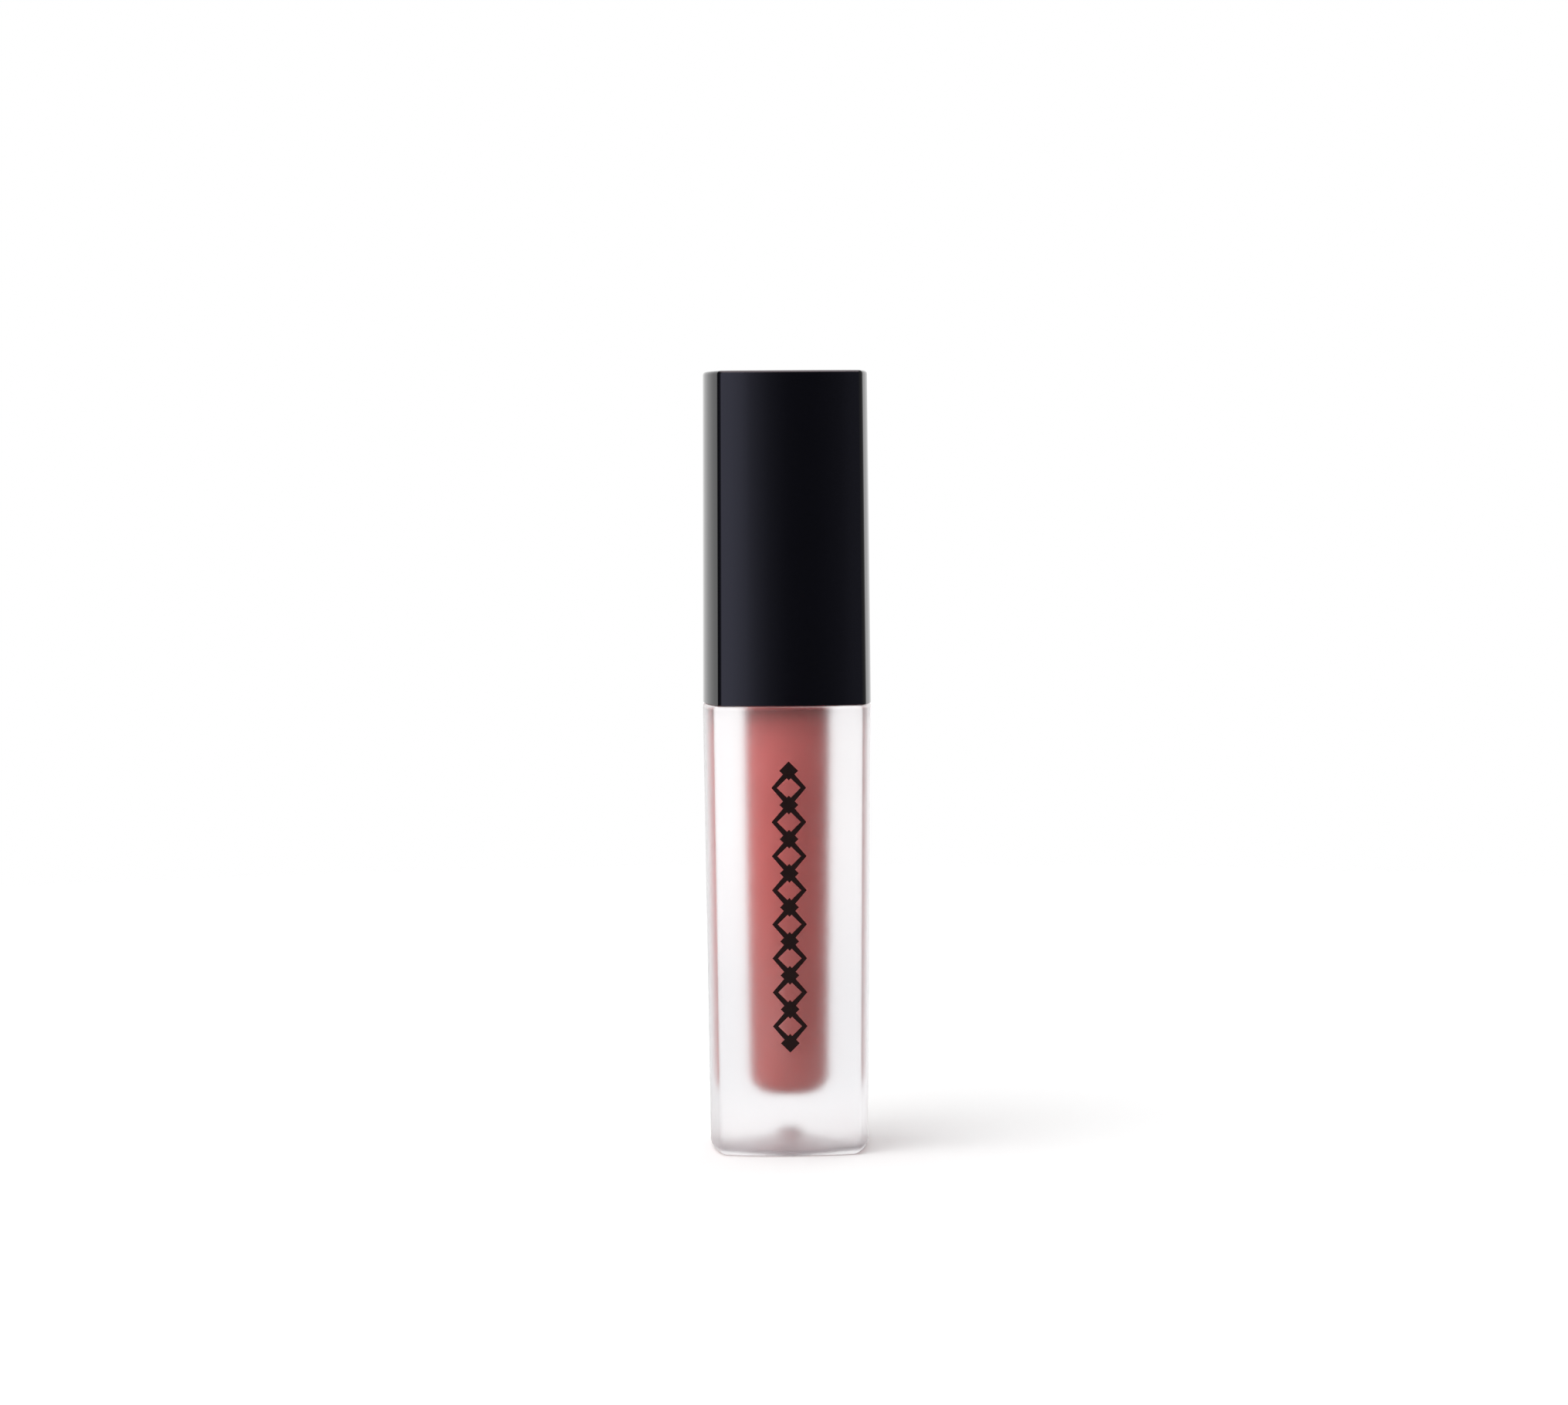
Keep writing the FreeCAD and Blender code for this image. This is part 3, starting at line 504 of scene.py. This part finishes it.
def make_stem_film():
    """Gloss that clings to the stem's dipped end; where it has parted it is sunk into the stem."""
    around, rows = 120, 150
    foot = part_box("applicator_stem")[0].z - FILM_OVERHANG
    vertices = []
    for row in range(rows + 1):
        height = foot + FILM_REACH * row / rows
        for step in range(around):
            angle = 2 * math.pi * step / around
            thickness = FILM_SUNK if row in (0, rows) else film_thickness(angle, height, row / rows)
            radius = STEM_RADIUS + thickness
            vertices.append((radius * math.cos(angle), radius * math.sin(angle), height))
    top = rows * around
    faces = [tuple(range(around))[::-1], tuple(range(top, top + around))]
    for low in range(0, top, around):
        faces += wall_between(low, low + around, around)
    film = add_mesh("gloss_film_on_stem", vertices, faces, wet_film())
    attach(film, "cap")


# Assembly ----------------------------------------------------------------------------------------

def dress(node_name, material):
    """Gives a CAD node its material."""
    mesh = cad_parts[node_name].data
    mesh.materials.clear()
    mesh.materials.append(material)


make_gloss()
make_flock()
make_stem_film()
dress("bottle", frosted_plastic())
dress("outer_cap", black_gloss())
dress("printed_ornament", ink())
dress("wiper", milky_plastic("wiper_plastic", (0.86, 0.86, 0.84), 0.4, stain_radius=2.9 * MM))
dress("inner_cap", milky_plastic("liner_plastic", (0.84, 0.84, 0.83), 0.35))
dress("sealing_washer", milky_plastic("washer_foam", (0.8, 0.8, 0.78), 0.7))
dress("applicator_stem", milky_plastic("stem_plastic", (0.85, 0.83, 0.82), 0.25))
dress("applicator_core", milky_plastic("core_plastic", (0.8, 0.76, 0.75), 0.4))


# Studio ------------------------------------------------------------------------------------------

FLOOR_FADE = (0.06, 0.30)


def make_floor():
    """A plain pale floor that fades into the white room round it."""
    material, tree, shader = new_material("pale_floor")
    tone = blend_colours(tree, noise(tree, 3.0), (0.965, 0.965, 0.965), (0.98, 0.98, 0.98))
    tree.links.new(tone, shader.inputs["Base Color"])
    shader.inputs["Roughness"].default_value = 0.9
    shader.inputs["Specular IOR Level"].default_value = 0.0
    away = node(tree, "ShaderNodeVectorMath", {0: object_point(tree)}, operation="LENGTH")
    tree.links.new(remap(tree, away.outputs["Value"], FLOOR_FADE[0], FLOOR_FADE[1], 1.0, 0.0),
                   shader.inputs["Alpha"])
    half = FLOOR_FADE[1]
    corners = [(-half, -half, 0.0), (half, -half, 0.0), (half, half, 0.0), (-half, half, 0.0)]
    floor = add_mesh("studio_floor", corners, [(0, 1, 2, 3)], material, smooth=False)


# The studio all round the tube: bearing in degrees (0 towards the front, negative to the left), and
# brightness. The first is what polished faces mirror, the second what lights everything else.
MIRRORED = [(-180, 1.1), (-166, 1.0), (-150, 0.72), (-136, 0.55), (-126, 0.2), (-112, 0.02), (-50, 0.02),
            (-38, 1.1), (-26, 1.2), (-15, 0.6), (-9, 0.32), (-3, 0.16), (6, 0.05), (20, 0.05), (32, 0.11),
            (39, 0.2), (44, 0.25), (60, 0.3), (110, 0.4), (140, 0.55), (160, 0.8), (180, 1.1)]
LIGHTING = [(-180, 1.04), (-150, 0.94), (-120, 1.0), (-90, 1.85), (-60, 2.7), (-30, 2.4), (-14, 1.72),
            (2, 0.82), (15, 0.55), (40, 0.32), (80, 0.3), (110, 0.6), (140, 1.1), (180, 1.04)]
FRONT_TINT = (0.82, 0.83, 1.12)
FRONT_TINT_HALF = 60
WHITE = (1.0, 1.0, 1.0)
OVERHEAD = (2.9, 2.45, 2.65)
OVERHEAD_FROM = (0.75, 0.95)


def surround(tree, turn, table, front_tint):
    """A background whose brightness follows the table round the tube, tinted towards the front."""
    brightest = max(light for _, light in table)
    ramp = node(tree, "ShaderNodeValToRGB", {"Fac": turn})
    ramp.color_ramp.interpolation = "B_SPLINE"
    for index, (angle, light) in enumerate(table):
        place = (angle + 180.0) / 360.0
        stop = ramp.color_ramp.elements[index] if index < 2 else ramp.color_ramp.elements.new(place)
        stop.position = place
        tint = front_tint if abs(angle) < FRONT_TINT_HALF else WHITE
        stop.color = (*(light / brightest * channel for channel in tint), 1.0)
    return node(tree, "ShaderNodeBackground", {"Color": ramp.outputs["Color"], "Strength": brightest})


def make_world():
    """Soft light all round; polished faces mirror a studio with a dark side and a lit side."""
    world = bpy.data.worlds.new("studio")
    bpy.context.scene.world = world
    world.use_nodes = True
    tree = world.node_tree
    tree.nodes.clear()
    ray = node(tree, "ShaderNodeSeparateXYZ",
               {"Vector": node(tree, "ShaderNodeTexCoord").outputs["Generated"]})
    back = node(tree, "ShaderNodeMath", {0: ray.outputs["Y"], 1: -1.0}, operation="MULTIPLY")
    bearing = node(tree, "ShaderNodeMath", {0: ray.outputs["X"], 1: back.outputs[0]}, operation="ARCTAN2")
    turn = rise(tree, bearing.outputs[0], -math.pi, math.pi)
    lighting = surround(tree, turn, LIGHTING, WHITE)
    around = surround(tree, turn, MIRRORED, FRONT_TINT)
    overhead = node(tree, "ShaderNodeBackground", {"Color": (*OVERHEAD, 1.0), "Strength": 1.0})
    above = rise(tree, ray.outputs["Z"], *OVERHEAD_FROM)
    mirrored = node(tree, "ShaderNodeMixShader", {0: above, 1: around.outputs[0], 2: overhead.outputs[0]})
    plain = node(tree, "ShaderNodeBackground", {"Color": (*WHITE, 1.0), "Strength": 1.0})
    paths = node(tree, "ShaderNodeLightPath")
    reflected = node(tree, "ShaderNodeMath", {0: paths.outputs["Is Glossy Ray"],
                                              1: paths.outputs["Is Transmission Ray"]},
                     operation="SUBTRACT", use_clamp=True)
    studio = node(tree, "ShaderNodeMixShader", {0: reflected.outputs[0], 1: lighting.outputs[0],
                                                2: mirrored.outputs[0]})
    seen = node(tree, "ShaderNodeMixShader", {0: paths.outputs["Is Camera Ray"], 1: studio.outputs[0],
                                              2: plain.outputs[0]})
    output = tree.nodes.new("ShaderNodeOutputWorld")
    tree.links.new(seen.outputs[0], output.inputs["Surface"])


CAMERA_DISTANCE = 0.4462
CAMERA_HEIGHT = 0.0730
CAMERA_BEARING = math.radians(-1.0)
CAMERA_AIM = math.radians(0.036)
CAMERA_TILT = math.radians(-3.5)
CAMERA_ROLL = math.radians(-0.37)


def make_camera():
    """A 100 mm lens at the cap's height, tilted down a little."""
    lens = bpy.data.cameras.new("camera")
    lens.lens = 100.0
    lens.sensor_width = 36.0
    lens.clip_start = 0.01
    camera = bpy.data.objects.new("camera", lens)
    axis = (CAD_BOX[0] + CAD_BOX[1]) / 2
    camera.location = (axis.x + CAMERA_DISTANCE * math.sin(CAMERA_BEARING),
                       axis.y - CAMERA_DISTANCE * math.cos(CAMERA_BEARING), CAMERA_HEIGHT)
    level = Matrix.Rotation(math.radians(90.0), 4, "X")
    turn = Matrix.Rotation(CAMERA_BEARING + CAMERA_AIM, 4, "Z")
    camera.matrix_world = (Matrix.Translation(camera.location) @ turn @ level
                           @ Matrix.Rotation(CAMERA_TILT, 4, "X") @ Matrix.Rotation(CAMERA_ROLL, 4, "Z"))
    bpy.context.scene.collection.objects.link(camera)
    bpy.context.scene.camera = camera


make_floor()
make_world()
make_camera()
bpy.context.scene.view_settings.view_transform = "Standard"
